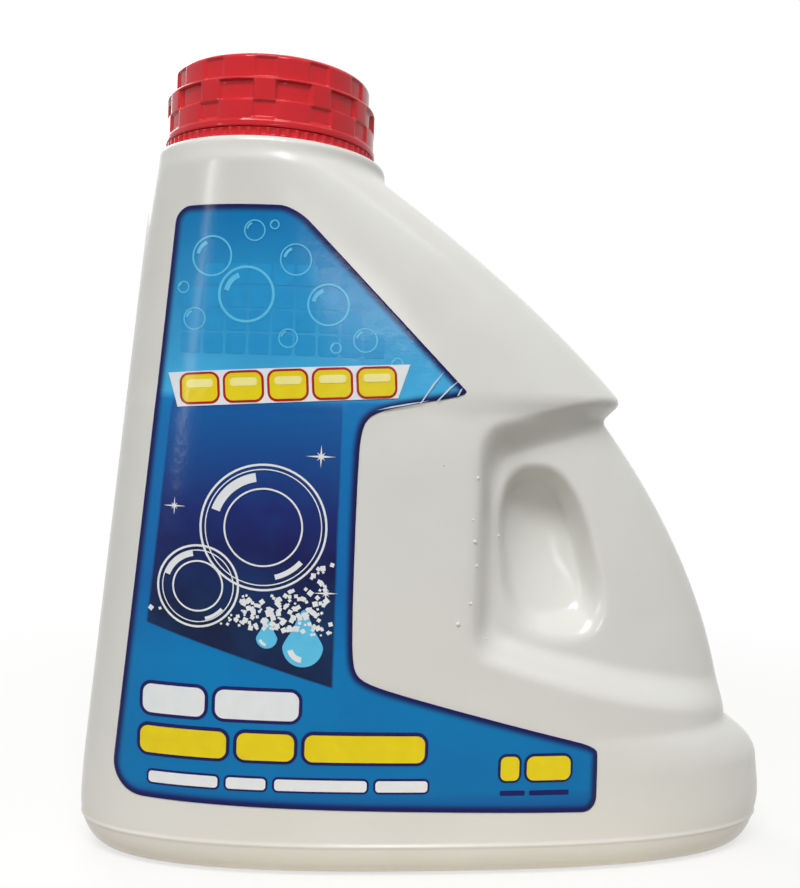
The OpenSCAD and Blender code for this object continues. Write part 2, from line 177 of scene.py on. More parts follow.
notchZ = lipZ - bottle["lipHeight"]
notchX = lipX - bottle["lipUndercut"]
gripX = rightX - bottle["gripReach"]
gripTop = lipZ - bottle["ledgeDrop"]
gripLow = bottle["baseHeight"] + bottle["stepRise"]
hollowX = gripX + bottle["hollowIn"]
hollowZ = (bottle["baseHeight"] + lipZ) / 2 + bottle["hollowRise"]
mouthZ = shoulderZ + bottle["neckHeight"]
neckR = bottle["mouth"] + bottle["neckWall"]


def leftEdge(z):
    lean = leftX + math.tan(math.radians(bottle["lean"])) * (z - bottle["leanFrom"])
    return softMax(leftX + 0 * z, lean, 1)


def rightEdge(z):
    baseZ, stepX = bottle["baseHeight"], rightX - bottle["baseStep"]
    taper = rightX - bottle["taper"] * np.maximum(z - bottle["taperFrom"], 0)
    base = softMin(taper, stepX + (baseZ - z) * bottle["baseSlope"], bottle["baseBlend"])
    along = np.clip(z, baseZ - 8, notchZ + 4)
    handle = bowed(along, stepX, baseZ, notchX, notchZ, bottle["handleBow"])
    under = softMax(softMax(base, handle, bottle["handleBlend"]), notchX + z - notchZ, bottle["lipBlend"])
    roofOut, roofDrop = bottle["roofEnd"]
    roof = bowed(z, lipX, lipZ, collarX + roofOut, shoulderZ - roofDrop, bottle["roofBow"])
    roof = np.where(z < lipZ - bottle["lipTop"], bottle["width"], roof)
    return softMax(softMin(under, roof, bottle["roofBlend"]), collarX + 0 * z, bottle["roofBlend"])


def section(z):  # middle x, half-width, half-depth and exponent of the level cut at z
    z = np.asarray(z, float)
    edge = bottle["collarEdge"]
    top = rounding((z - shoulderZ + edge) / edge, edge)
    inset = rounding((bottle["foot"] - z) / bottle["foot"], bottle["footInset"]) + top
    ends = [rounding((high - z) / high, bottle["footEndInset"]) + top for high in bottle["footEnds"]]
    left, right = leftEdge(z) + ends[0], rightEdge(z) - ends[1]
    a = (right - left) / 2
    b = softMin(bottle["depth"] / 2 - inset, a, 1)
    return (left + right) / 2, a, b, 2 + bottle["squareness"] * np.maximum(1 - b / a, 0)


def recess(x, z, inset):  # 1 on the pinch grip's floor, 0 outside it
    shift = bottle["skinShift"] * inset
    side = (x - gripX + shift) / bottle["gripWall"]
    ledge = gripTop + bottle["ledgeTilt"] * (x - gripX - bottle["ledgeFrom"]) - z + shift
    run = x - gripX - bottle["stepFrom"]
    step = z - gripLow + bottle["stepFall"] * run - bottle["stepCurve"] * run * run + shift
    top = softMin(side, ledge / bottle["gripLedge"], bottle["gripBlend"])
    return smooth(softMin(top, step / bottle["gripStep"], bottle["stepBlend"]))


def hollow(x, z, inset):  # 1 at the finger hollow's deepest point, 0 outside it
    dz = z - hollowZ
    u = (x - hollowX + bottle["hollowLean"] * dz) / (bottle["hollowWidth"] / 2 - bottle["hollowNarrow"] * dz)
    v = 2 * dz / bottle["hollowHeight"]
    power = bottle["hollowPower"]
    r = (np.abs(u) ** power + np.abs(v) ** power) ** (1 / power)
    r = r - 2 * bottle["skinShift"] * inset / bottle["hollowWidth"]
    bowl = 1 - bottle["hollowBowl"] * (1 - np.clip(1 - r * np.abs(r), 0, 1))
    level, byX, byZ, most = bottle["hollowDeep"]
    rim, slope = bottle["hollowRim"]
    return np.minimum(smooth((rim - r) / slope) * bowl * np.minimum(level + byX * u + byZ * v, most), 1)


def halfDepth(x, z, inset=0.0):  # the skin's distance from the middle plane, or the inner skin's
    middle, a, b, power = section(z)
    u = np.clip(np.abs(x - middle) / (a - inset), 0, 1)
    y = (b - inset) * (1 - u ** power) ** (1 / power) * (1 - bottle["gripCut"] * recess(x, z, inset))
    return y + (bottle["hollowFloor"] - inset - y) * hollow(x, z, inset)


even = np.linspace(0, 1, 46)[:-1]
leftRun = 0.65 * even + 0.35 * (1 - np.cos(np.pi * even)) / 2  # columns from the left edge to the grip's wall
rightRun = spread(0, 8, 0.1, 46, 0.6, 20, 1)                   # and from there to the right edge
halfColumns = len(leftRun) + len(rightRun)


def mirrored(front):  # the front half of a ring, and the same half behind it
    back = front[-2:0:-1].copy()
    back[:, 1] *= -1
    return np.concatenate([front, back])


def columnAngles(z):  # the columns keep to the grip's left wall, where it is inside the section
    middle, a = section(z)[:2]
    wall = math.acos(-min(max((gripX - middle) / a, -0.15), 0.55))
    return np.concatenate([leftRun * wall, wall + rightRun * (math.pi - wall)])


def skinRing(z, inset=0.0, zOut=None, swell=0.0):  # the section at z, placed at the height zOut
    middle, a = section(z)[:2]
    angles = columnAngles(z)
    x = middle - (a - inset) * np.cos(angles)
    y = -halfDepth(x, z + 0 * x, inset)
    x = x - swell * np.cos(angles) * (a - inset) / a
    y = y - swell * np.sin(angles)
    return mirrored(np.stack([x, y, np.full_like(x, z if zOut is None else zOut)], -1))


def circleRing(r, z):
    angles = columnAngles(shoulderZ - bottle["wall"])
    return mirrored(np.stack([neckX - r * np.cos(angles), -r * np.sin(angles), np.full_like(angles, z)], -1))


def ridge(z):  # the fine bead round the foot
    return bottle["seamOut"] * math.exp(-((z - bottle["seamZ"]) / bottle["seamWide"]) ** 2)


def capFaces(start, size, top):  # closes a ring with strips from its front to its back
    faces = []
    for j in range(size // 2):
        strip = list(dict.fromkeys([j, j + 1, (size - j - 1) % size, (size - j) % size]))
        faces.append([start + k for k in (strip if top else strip[::-1])])
    return faces


def loft(name, rings):
    size = len(rings[0])
    faces = [list(f) for f in gridFaces(len(rings), size)]
    faces += capFaces(0, size, False) + capFaces((len(rings) - 1) * size, size, True)
    return addMesh(name, np.concatenate(rings), faces)


bodyLevels = spread(bottle["foot"], 4, 9.2, 7, 23, 18, 35, 24, 55, 46, 96, 22, 108, 26, 117, 42, 162, 10,
                    shoulderZ - bottle["collarEdge"])
seamLevels = bottle["seamZ"] + np.array([-0.9, -0.6, -0.3, 0.0])
outerLevels = np.concatenate([np.sort(np.concatenate([eased(bottle["foot"], 13), seamLevels])), bodyLevels,
                              shoulderZ - eased(bottle["collarEdge"], 8)[::-1]])


def innerRings(inset, top):  # from the level top down to the inner floor
    floor = bottle["pushUp"] + bottle["wall"]
    lowest = floor + 1.5
    levels = [z for z in np.concatenate([[lowest], bodyLevels[2::2]]) if z < top - 1]
    rings = [skinRing(min(top, shoulderZ - 3), inset, top)]
    rings += [skinRing(z, inset) for z in reversed(levels)]
    return rings + [skinRing(lowest, inset + 3, floor + inset - bottle["wall"])]


def makeBottle():
    pushUp = ((9.5, bottle["pushUp"]), (8.4, 2.1), (7.2, 1.5), (6.0, 0.6), (5.2, 0.12))  # inset and height
    rings = [skinRing(0, inset, z) for inset, z in pushUp]
    rings += [skinRing(0, bottle["standRing"], 0), skinRing(0, 2.0, 0), skinRing(0, 0.6, 0)]
    outer = [skinRing(z, swell=ridge(z)) for z in outerLevels]
    for ring in outer:  # parting line of the mould on the two narrow sides
        ring[0, 0] -= bottle["partingOut"]
        ring[halfColumns - 1, 0] += bottle["partingOut"]
    beadZ, beadR = shoulderZ + bottle["beadZ"], neckR + bottle["beadOut"]
    mouth, under = bottle["mouth"], shoulderZ - bottle["wall"]
    neck = [(neckR + 3.2, shoulderZ), (neckR + 1.2, shoulderZ), (neckR + 0.5, shoulderZ + 0.15),
            (neckR + 0.1, shoulderZ + 0.6), (neckR, shoulderZ + 1.2), (neckR, beadZ), (beadR - 0.3, beadZ),
            (beadR, beadZ + 0.2), (beadR - 0.1, beadZ + 0.7), (neckR + 0.4, beadZ + 1.15), (neckR, beadZ + 1.4),
            (neckR, mouthZ - 0.7), (neckR - 0.15, mouthZ - 0.25), (neckR - 0.5, mouthZ),
            (mouth + 0.4, mouthZ), (mouth + 0.1, mouthZ - 0.2), (mouth, mouthZ - 0.6),
            (mouth, shoulderZ), (mouth + 0.3, shoulderZ - 0.9), (mouth + 1.5, under)]
    rings += outer + [circleRing(r, z) for r, z in neck] + innerRings(bottle["wall"], under)
    return loft("bottleShell", rings)


def helix(name, r, out, zStart, turns, halfFoot=0.9, halfCrest=0.4, sink=0.3):  # one ridge of a screw thread
    steps = int(turns * 96)
    foot = r - math.copysign(sink, out)
    points = []
    for i in range(steps + 1):
        angle = 2 * math.pi * turns * i / steps
        ends = min(i, steps - i) * 2 * math.pi * turns / steps
        z = zStart + bottle["lead"] * angle / (2 * math.pi)
        crest = r + out * max(float(smooth(ends / 0.5)), 0.02)  # runs out at both ends
        for radius, dz in ((foot, -halfFoot), (crest, -halfCrest), (crest, halfCrest), (foot, halfFoot)):
            points.append((neckX + radius * math.cos(angle), radius * math.sin(angle), z + dz))
    last = steps * 4
    faces = [quad[::-1] if out > 0 else quad for quad in gridFaces(steps + 1, 4).tolist()]
    ends = [[0, 1, 2, 3], [last + 3, last + 2, last + 1, last]]
    return addMesh(name, points, faces + (ends if out > 0 else [f[::-1] for f in ends]))


def dome(name, x, z, size):  # a moulding pip on the front
    y = -float(halfDepth(np.array(x), np.array(z)))
    points = [(x, y - size * 0.55, z)]
    for ring in range(1, 5):
        tilt = ring * math.pi / 8
        for k in range(12):
            turn = k * math.pi / 6
            points.append((x + size * math.sin(tilt) * math.cos(turn), y - size * (0.7 * math.cos(tilt) - 0.15),
                           z + size * math.sin(tilt) * math.sin(turn)))
    faces = [[1 + (k + 1) % 12, 1 + k, 0] for k in range(12)]
    for ring in range(3):
        for k in range(12):
            a, b = 1 + ring * 12 + k, 1 + ring * 12 + (k + 1) % 12
            faces.append([b, b + 12, a + 12, a])
    faces.append([48 - k for k in range(12)])
    return addMesh(name, points, faces)


bottleShell = makeBottle()
neckThread = helix("neckThread", neckR, bottle["threadOut"], bottle["threadFrom"], bottle["threadTurns"])
mouldPips = joined("mouldPips", [dome("pip", *pip) for pip in bottle["pips"]])
print("bottle made", len(bottleShell.data.polygons), "faces")


# Salt

salt = {
    "level": 118.0, "clearance": 0.5, "heap": 1.6, "ripple": 0.5, "lift": 1.2, "across": 14,
    "grains": 900, "grainSize": (0.5, 1.1), "grainsX": (-74, 4), "grainsRise": 0.4, "grainsInset": 1.5,
}


def saltHeap(x, y):
    wave = salt["heap"] * math.sin(x * 0.071) * math.cos(y * 0.11)
    return wave + salt["ripple"] * math.sin(x * 0.4 + y * 0.33)


def makeSaltBed():
    level, across = salt["level"], salt["across"]
    rings = innerRings(bottle["wall"] + salt["clearance"], level)[::-1]
    size = len(rings[0])
    count = size // 2
    top = rings[-1]
    points = list(np.concatenate(rings))
    faces = [list(f) for f in gridFaces(len(rings), size)] + capFaces(0, size, False)
    edge = (len(rings) - 1) * size
    rows = [[edge + j for j in range(count + 1)]]
    for k in range(1, across):
        row = [edge]
        for j in range(1, count):
            x, y = top[j, 0], top[j, 1] * (1 - 2 * k / across)
            away = min(k, across - k) / across * min(j, count - j) / 12
            row.append(len(points))
            points.append((x, y, level + (saltHeap(x, y) + salt["lift"]) * min(away, 1)))
        rows.append(row + [edge + count])
    rows.append([edge] + [edge + size - j for j in range(1, count)] + [edge + count])
    for k in range(across):
        for j in range(count):
            quad = [rows[k][j], rows[k][j + 1], rows[k + 1][j + 1], rows[k + 1][j]]
            faces.append(list(dict.fromkeys(quad)))
    return addMesh("saltBed", points, faces)


def makeSaltGrains():
    inset = bottle["wall"] + salt["clearance"]
    points, faces = [], []
    cube = [(0, 2, 3, 1), (4, 5, 7, 6), (0, 1, 5, 4), (2, 6, 7, 3), (0, 4, 6, 2), (1, 3, 7, 5)]
    draw = np.random.default_rng(7)
    for i in range(salt["grains"]):
        x = draw.uniform(*salt["grainsX"])
        reach = float(halfDepth(np.array(x), np.array(salt["level"]), inset)) - salt["grainsInset"]
        y = draw.uniform(-reach, reach)
        z = salt["level"] + saltHeap(x, y) + salt["grainsRise"]
        turn = Matrix.Rotation(draw.uniform(0, 6.28), 3, Vector(draw.normal(size=3)).normalized())
        side = draw.uniform(*salt["grainSize"])
        corners = [Vector(((k & 1) - 0.5, (k >> 1 & 1) - 0.5, (k >> 2) - 0.5)) * side for k in range(8)]
        points += [turn @ corner + Vector((x, y, z)) for corner in corners]
        faces += [[8 * i + k for k in face] for face in cube]
    return addMesh("saltGrains", points, faces, flat=True)


saltBed = makeSaltBed()
saltGrains = makeSaltGrains()
print("salt made")


# Cap and tamper band

cap = {
    "radius": 26.0, "tierRadius": 24.3, "wall": 1.8, "top": 1.5, "bandGap": 0.4, "bandHeight": 1.9, "capGap": 0.2,
    "ring": 1.7, "lowRow": 4.4, "midRow": 5.2, "ringOut": 0.25, "bevel": 1.3, "bore": 176.0,
    "windows": 12, "share": 0.615, "turn": 12.7, "windowCut": 0.9, "blockCut": 0.52, "edge": 0.6,
    "lowInset": (0.35, 0.3), "midInset": (0.15, 0.75), "topInset": (0.5, 1.1),
    "ribs": 72, "ribOut": 0.55, "ribHalf": 0.42, "ribEdge": 0.25, "liner": 1.3, "linerGap": 0.1,
    "threadFrom": 176.3, "threadTurns": 0.8, "threadOut": 1.3,
}
bandZ = shoulderZ + cap["bandGap"]
capZ = bandZ + cap["bandHeight"] + cap["capGap"]
lowZ = capZ + cap["ring"]
midZ = lowZ + cap["lowRow"]
tierZ = midZ + cap["midRow"]
linerZ = mouthZ + cap["linerGap"]
insideZ = linerZ + cap["liner"] + cap["linerGap"]
highZ = insideZ + cap["top"]
capBore = cap["radius"] - cap["wall"]
tierBore = neckR + 0.6


def lathe(name, profile, columns, cut=None, cutRows=0):  # closed profile of (r, z) turned about the neck's axis
    angles = np.arange(columns) * 2 * math.pi / columns
    points = []
    for row, (r, z) in enumerate(profile):
        radii = r - (cut(angles, z) if row < cutRows else 0) + 0 * angles
        points.append(np.stack([neckX + radii * np.cos(angles), radii * np.sin(angles), z + 0 * angles], -1))
    faces = gridFaces(len(profile) + 1, columns) % (len(profile) * columns)
    return addMesh(name, np.concatenate(points), faces)


def bump(value, low, high, edge):  # 1 between low and high, with soft edges
    return smooth((value - low) / edge + 0.5) * smooth((high - value) / edge + 0.5)


def capRelief(angles, z):  # windows cut into the middle row, and blocks between them above and below
    pitch = 360 / cap["windows"]
    place = (np.degrees(angles) - cap["turn"] + pitch / 2) % pitch - pitch / 2
    edge = math.degrees(cap["edge"] / cap["radius"])
    window = smooth((pitch * cap["share"] / 2 - np.abs(place)) / edge + 0.5)
    low, mid, top = (float(bump(z, start + cap[row][0], end - cap[row][1], cap["edge"])) for row, start, end in
                     (("lowInset", lowZ, midZ), ("midInset", midZ, tierZ), ("topInset", tierZ, highZ)))
    return window * mid * cap["windowCut"] + (1 - window) * (low + top) * cap["blockCut"]


def makeCap():
    outR, rowR, tierR = cap["radius"], cap["radius"] - cap["ringOut"], cap["tierRadius"]
    bevel, dish = cap["bevel"], highZ - 0.3
    outside = [(capBore, capZ + 0.15), (capBore + 0.15, capZ), (outR - 0.35, capZ), (outR - 0.1, capZ + 0.1),
               (outR, capZ + 0.35)]
    outside += [(outR, z) for z in np.linspace(capZ + 0.5, lowZ - 0.35, 4)]
    for low, high, step in ((lowZ - 0.05, midZ - 0.7, 0.22), (midZ - 0.7, midZ + 0.6, 0.12),
                            (midZ + 0.6, tierZ - 1.2, 0.3), (tierZ - 1.2, tierZ - 0.4, 0.11)):
        outside += [(rowR, z) for z in np.arange(low, high, step)]
    outside += [(rowR - 0.04, tierZ - 0.32), (rowR - 0.14, tierZ - 0.12), (rowR - 0.35, tierZ),
                (tierR + 0.25, tierZ), (tierR + 0.06, tierZ + 0.08)]
    outside += [(tierR, z) for z in np.arange(tierZ + 0.25, highZ - bevel, 0.13)]
    for i in range(10):
        turn = i / 9 * math.pi / 2
        outside.append((tierR - bevel * (1 - math.cos(turn)), highZ - bevel * (1 - math.sin(turn))))
    flat = [(tierR - bevel - 0.8, highZ), (20.6, highZ), (20.3, highZ - 0.12), (20.0, dish), (14.0, dish),
            (7.0, dish), (2.2, dish), (1.9, highZ - 0.38), (1.2, highZ - 0.42), (0.5, dish), (0.15, highZ - 0.25)]
    inside = [(0.15, insideZ), (8, insideZ), (tierBore - 0.5, insideZ), (tierBore - 0.1, insideZ - 0.2),
              (tierBore, insideZ - 0.6), (tierBore, tierZ - 1), (capBore, tierZ - 1 - capBore + tierBore),
              (capBore, cap["bore"])]
    return lathe("redCap", outside + flat + inside, cap["windows"] * 44, capRelief, len(outside))


def makeBand():
    ribR, shelfR = cap["radius"] - 0.1, neckR + 0.6
    low, high = bandZ, bandZ + cap["bandHeight"]
    step = 2 * math.pi / cap["ribs"]

    def ribs(angles, z):
        place = np.abs((angles + step / 2) % step - step / 2) * ribR
        groove = 1 - smooth((cap["ribHalf"] - place) / cap["ribEdge"] + 0.5)
        return groove * cap["ribOut"] * float(bump(z, low + 0.25, high - 0.1, 0.2))

    outside = [(capBore, low + 0.1), (capBore + 0.2, low), (ribR - 0.3, low), (ribR - 0.08, low + 0.06),
               (ribR, low + 0.2)]
    outside += [(ribR, z) for z in np.linspace(low + 0.3, high - 0.3, 8)]
    outside += [(ribR, high - 0.2), (ribR - 0.05, high - 0.06)]
    inside = [(ribR - 0.2, high), (shelfR + 0.1, high), (shelfR, high - 0.1), (shelfR, high - 0.7),
              (shelfR + 0.2, high - 0.8), (capBore, high - 0.8)]
    return lathe("ribbedBand", outside + inside, cap["ribs"] * 12, ribs, len(outside))


def makeLiner():
    r, low, high = tierBore - 0.3, linerZ, linerZ + cap["liner"]
    profile = [(0.2, low), (12, low), (19.8, low), (20.3, low + 0.12), (21.6, low + 0.12), (21.9, low),
               (r - 0.15, low), (r, low + 0.2), (r, high - 0.2), (r - 0.2, high), (12, high), (0.2, high)]
    return lathe("foamLiner", profile, 96)


redCap = makeCap()
capThread = helix("capThread", capBore, -cap["threadOut"], cap["threadFrom"], cap["threadTurns"])
ribbedBand = makeBand()
foamLiner = makeLiner()
print("cap made", len(redCap.data.polygons), "faces")


# Labels

label = {
    "low": 17.0, "high": 153.0, "margin": 9.4, "footWidth": 114.0, "waist": 51.0, "topWidth": 27.0,
    "tipZ": 113.0, "tipWidth": 71.0, "corner": 8.0, "round": 3.5, "droop": 1.9, "droopHeight": 14.0,
    "footTop": 30.3, "ramp": 3.84, "wing": 5.5, "wingDrop": 5.3, "bend": 2.0, "tipBlend": 7.0, "footBlend": 5.0,
    "backLow": 22.0, "backWidth": 62.0, "backHeight": 84.0, "lift": 0.05, "film": 0.1,
}
backTop = label["backLow"] + label["backHeight"]


def fromMargin(z, width):  # x at that width from the label's left margin
    return float(leftEdge(np.array(z))) + label["margin"] + width


labelFootX = leftX + label["margin"] + label["footWidth"]
labelWaistX = fromMargin(label["tipZ"] / 2, label["waist"])
labelTipX = fromMargin(label["tipZ"], label["tipWidth"])
labelRoof = (labelTipX - fromMargin(label["high"], label["topWidth"])) / (label["high"] - label["tipZ"])


def cornerDraw(z, low, high, lowSize, highSize):  # how far rounded corners draw in at the height z
    return rounding((low + lowSize - z) / lowSize, lowSize) + rounding((z - high + highSize) / highSize, highSize)


def labelLeft(z):
    draw = cornerDraw(z, label["low"], label["high"], label["corner"], label["round"])
    return leftEdge(z) + label["margin"] + draw


def bent(t, slope):  # 0 before t = 0 and a slope after it, with a rounded bend
    return slope * (t + np.sqrt(t * t + label["bend"] ** 2)) / 2


def labelRight(z):
    z = np.asarray(z, float)
    draw = cornerDraw(z, label["low"], label["high"], label["round"], label["round"])
    ramp = bent(label["footTop"] + (labelFootX - labelWaistX) / label["ramp"] - z, label["ramp"])
    wing = bent(z - label["tipZ"] + label["wingDrop"], label["wing"])
    low = softMin(labelFootX + 0 * z, labelWaistX + ramp + wing, label["footBlend"])
    high = softMin(labelWaistX + wing, labelTipX - (z - label["tipZ"]) * labelRoof, label["tipBlend"])
    return np.where(z < label["tipZ"] - 3 * label["wingDrop"], low, high) - draw


def backDraw(z):
    return cornerDraw(z, label["backLow"], backTop, label["round"], label["round"])


def backLeft(z):
    return leftEdge(z) + label["margin"] + backDraw(z)


def backRight(z):
    return leftEdge(z) + label["margin"] + label["backWidth"] - backDraw(z)


def droop(x, z):  # how far the front label's lower edge sinks towards its right end
    fade = 1 - smooth((z - label["low"]) / label["droopHeight"])
    return label["droop"] * (x - labelLeft(z)) / label["footWidth"] * fade


def filmMesh(name, levels, leftOf, rightOf, side, columns):
    rings = []
    along = np.linspace(0, 1, columns) ** 1.15  # closest at the left edge, where the bottle curves most
    for z in levels:
        zs = np.full(columns, float(z))
        x = leftOf(z) + (rightOf(z) - leftOf(z)) * along
        zs = zs - (droop(x, zs) if side < 0 else 0)
        outer = side * (halfDepth(x, zs) + label["lift"] + label["film"])
        inner = side * (halfDepth(x, zs) + label["lift"])
        first, second = (outer, inner) if side < 0 else (inner, outer)
        rings.append(np.concatenate([np.stack([x, first, zs], -1), np.stack([x, second, zs], -1)[::-1]]))
    size = 2 * columns
    faces = [list(f) for f in gridFaces(len(rings), size)]
    last = (len(rings) - 1) * size
    for j in range(columns - 1):
        faces.append([j, size - 1 - j, size - 2 - j, j + 1])
        faces.append([last + j, last + j + 1, last + size - 2 - j, last + size - 1 - j])
    return addMesh(name, np.concatenate(rings), faces)


def outlineOf(levels, leftOf, rightOf, sag, count):
    z = np.interp(np.linspace(0, len(levels) - 1, count), np.arange(len(levels)), levels)
    x0, x1 = leftOf(z), rightOf(z)
    edges = [np.stack([x0, z], -1), np.stack([x1, z - (droop(x1, z) if sag else 0)], -1)]
    for k in (0, -1):
        x, zs = np.linspace(x0[k], x1[k], 300), np.full(300, z[k])
        edges.append(np.stack([x, zs - (droop(x, zs) if sag else 0)], -1))
    return np.concatenate(edges)


def rimDistance(piece, outline):  # each point's distance from the outline, in mm, as an attribute
    points = np.empty(len(piece.data.vertices) * 3, np.float32)
    piece.data.vertices.foreach_get("co", points)
    flat = points.reshape(-1, 3)[:, [0, 2]] / mm
    near = np.full(len(flat), 1e9)
    for i in range(0, len(flat), 2000):
        gap = flat[i:i + 2000, None, :] - outline[None, :, :]
        near[i:i + 2000] = np.sqrt((gap ** 2).sum(-1).min(1))
    piece.data.attributes.new("rim", "FLOAT", "POINT").data.foreach_set("value", near)


edge, turnLevels = label["round"], eased(label["round"], 10)
frontLevels = np.concatenate([label["low"] + eased(label["corner"], 16),
                              spread(25, 14, 34, 24, 52, 40, 98, 34, 110, 30, 119, 34, label["high"] - edge),
                              label["high"] - turnLevels[::-1]])
backLevels = np.concatenate([label["backLow"] + turnLevels, spread(label["backLow"] + edge, 70, backTop - edge),
                             backTop - turnLevels[::-1]])
frontFilm = filmMesh("frontFilm", frontLevels, labelLeft, labelRight, -1, 110)
backFilm = filmMesh("backFilm", backLevels, backLeft, backRight, 1, 70)
rimDistance(frontFilm, outlineOf(frontLevels, labelLeft, labelRight, True, 1400))
rimDistance(backFilm, outlineOf(backLevels, backLeft, backRight, False, 700))
print("labels made")


# Print on the labels, drawn as thin sheets of ink just over the film

printing = {
    "inkLift": 0.05, "layer": 0.03, "outline": 0.8, "thinOutline": 0.5, "weightOutline": 0.6,
    "bubbles": [(-57.5, 141.5, 4.6), (-48.0, 147.2, 2.4), (-49.5, 133.0, 6.4), (-38.6, 141.0, 3.6),
                (-31.0, 131.2, 4.8), (-61.2, 127.4, 2.6), (-39.8, 123.4, 2.2), (-22.4, 123.6, 2.8),
                (-64.0, 134.6, 1.4), (-29.0, 121.6, 1.3), (-43.6, 148.6, 1.1), (-15.0, 118.6, 1.4)],
    "tiles": (-69.5, 119.6, 5.2, 0.55, 10, 4),
    "ribbon": (-67.0, 107.2, -12.0, 115.0, 3.6), "ribbonCut": 2.5,
    "tablets": 5, "tabletSize": (8.2, 6.2), "tabletEdge": 0.55,
    "plates": [(-44.0, 80.5, 14.5), (-58.5, 66.5, 9.5)],
    "drops": [(-34.2, 53.6, 4.6), (-42.4, 55.4, 2.4)],
    "cubes": 170, "cubeSize": (0.45, 1.25), "pileStart": (-66.5, 61.0), "pileRun": (37.0, -3.4),
    "stars": [(-31.5, 97.0, 3.4), (-64.5, 84.5, 2.6), (-29.4, 66.0, 2.8)],
    "whiteBlocks": [(-70.5, 36.6, 14.5, 6.6), (-53.6, 36.6, 19.0, 6.6)],
    "yellowBlocks": [(-70.8, 27.4, 20.0, 6.2), (-48.4, 27.4, 13.0, 6.2), (-33.0, 27.4, 27.5, 6.2)],
    "thinBlocks": [(-68.5, 20.6, 16.0, 2.6), (-50.6, 20.6, 9.0, 2.6), (-39.6, 20.6, 21.0, 2.6),
                   (-16.6, 20.6, 12.0, 2.6)],
    "weightBlocks": [(12.4, 23.2, 4.4, 5.6), (18.6, 23.2, 10.6, 5.6)],
    "smallBlocks": [(12.4, 19.6, 6.0, 1.2), (19.4, 19.6, 9.6, 1.2)],
    "scuffs": [[(-9.6, 109.7), (-9.2, 109.8), (-6.2, 114.4), (-4.1, 117.4), (-6.6, 114.5)],
               [(-5.6, 110.6), (-5.2, 110.6), (-2.4, 113.6), (-0.6, 115.4), (-2.8, 113.8)],
               [(-19.4, 107.9), (-12.0, 109.4), (-7.2, 110.6), (-12.1, 109.75), (-16.0, 108.95)],
               [(-1.0, 111.9), (-0.55, 112.0), (0.25, 113.6), (-0.2, 113.4)]],
    "backX": -60.0, "lines": 9, "bars": 18,
}


def roundedBlock(x, z, width, height, r=None, grow=0.0, tilt=0.0):  # from its lower left corner
    r = min(width, height) / 2 * 0.62 if r is None else r
    r, x, z, width, height = r + grow, x - grow, z - grow, width + 2 * grow, height + 2 * grow
    right, top = x + width - r, z + height - r
    points = []
    for cx, cz, start in ((right, z + r, -90), (right, top, 0), (x + r, top, 90), (x + r, z + r, 180)):
        for k in range(9):
            angle = math.radians(start + k * 90 / 8)
            points.append((cx + r * math.cos(angle), cz + r * math.sin(angle)))
    points = np.array(points)
    middle = points.mean(0)
    turn = math.radians(tilt)
    spin = np.array([[math.cos(turn), math.sin(turn)], [-math.sin(turn), math.cos(turn)]])
    return (points - middle) @ spin + middle


def star(x, z, r):  # long arms upright and level, and short ones between them
    arms = []
    for k, (reach, width) in enumerate(((r, 0.09), (r * 0.78, 0.08), (r * 0.4, 0.07), (r * 0.4, 0.07))):
        angle = math.pi * (0.5 * k if k < 2 else 0.25 + 0.5 * k)
        along = np.array([math.cos(angle), math.sin(angle)]) * reach
        across = np.array([-math.sin(angle), math.cos(angle)]) * r * width
        arms.append(np.array([along, across, -along, -across]) + (x, z))
    return arms


def band(x, z, outer, inner, start=0.0, sweep=360.0, count=64):  # strips of quads round an arc
    turn = np.radians(start + np.linspace(0, sweep, count + 1))
    ring = [np.stack([x + r * np.cos(turn), z + r * np.sin(turn)], -1) for r in (inner, outer)]
    return [np.array([ring[0][i], ring[1][i], ring[1][i + 1], ring[0][i + 1]]) for i in range(count)]


def drop(x, z, r, count=40):  # round below, drawn out to a point above
    turn = np.radians(-90 + np.arange(count) * 360 / count)
    rise = np.clip(np.sin(turn), 0, 1)
    return np.stack([x + r * np.cos(turn) * (1 - 0.3 * rise), z + r * np.sin(turn) * (1 + 0.85 * rise ** 5)], -1)


def inkSheet(name, shapes, layer, side=-1):  # flat outlines cut into narrow strips and laid on the film
    bm = bmesh.new()
    for shape in shapes:
        bm.faces.new([bm.verts.new((x, 0, z)) for x, z in shape])
    bmesh.ops.triangulate(bm, faces=bm.faces[:])

    def cutAt(place, normal):
        bmesh.ops.bisect_plane(bm, geom=bm.verts[:] + bm.edges[:] + bm.faces[:], plane_co=place, plane_no=normal)

    xs = [v.co.x for v in bm.verts]
    cut = math.ceil(min(xs))
    while cut < max(xs):
        cutAt((cut, 0, 0), (1, 0, 0))
        cut += 0.5 if cut < -58 else 1.0  # closer at the left, where the bottle curves most
    zs = [v.co.z for v in bm.verts]
    for cut in np.arange(math.ceil(min(zs) / 6) * 6, max(zs), 6.0):
        cutAt((0, 0, cut), (0, 0, 1))
    out = label["lift"] + label["film"] + printing["inkLift"] + layer * printing["layer"]
    x = np.array([v.co.x for v in bm.verts])
    z = np.array([v.co.z for v in bm.verts])
    for vert, y in zip(bm.verts, side * (halfDepth(x, z) + out)):
        vert.co = Vector((vert.co.x, y, vert.co.z)) * mm
    if side > 0:
        bmesh.ops.reverse_faces(bm, faces=bm.faces[:])
    return meshed(name, bm)


def ribbonShape():
    x0, z0, x1, z1, rise = printing["ribbon"]
    cut = printing["ribbonCut"]
    steps = np.linspace(0, 1, 25)
    lower = [(x0 + cut + (x1 - x0 - 2 * cut) * t, z0 + rise * t) for t in steps]
    upper = [(x0 + (x1 - x0) * t, z1 + rise * t) for t in steps[::-1]]
    return np.array(lower + upper)


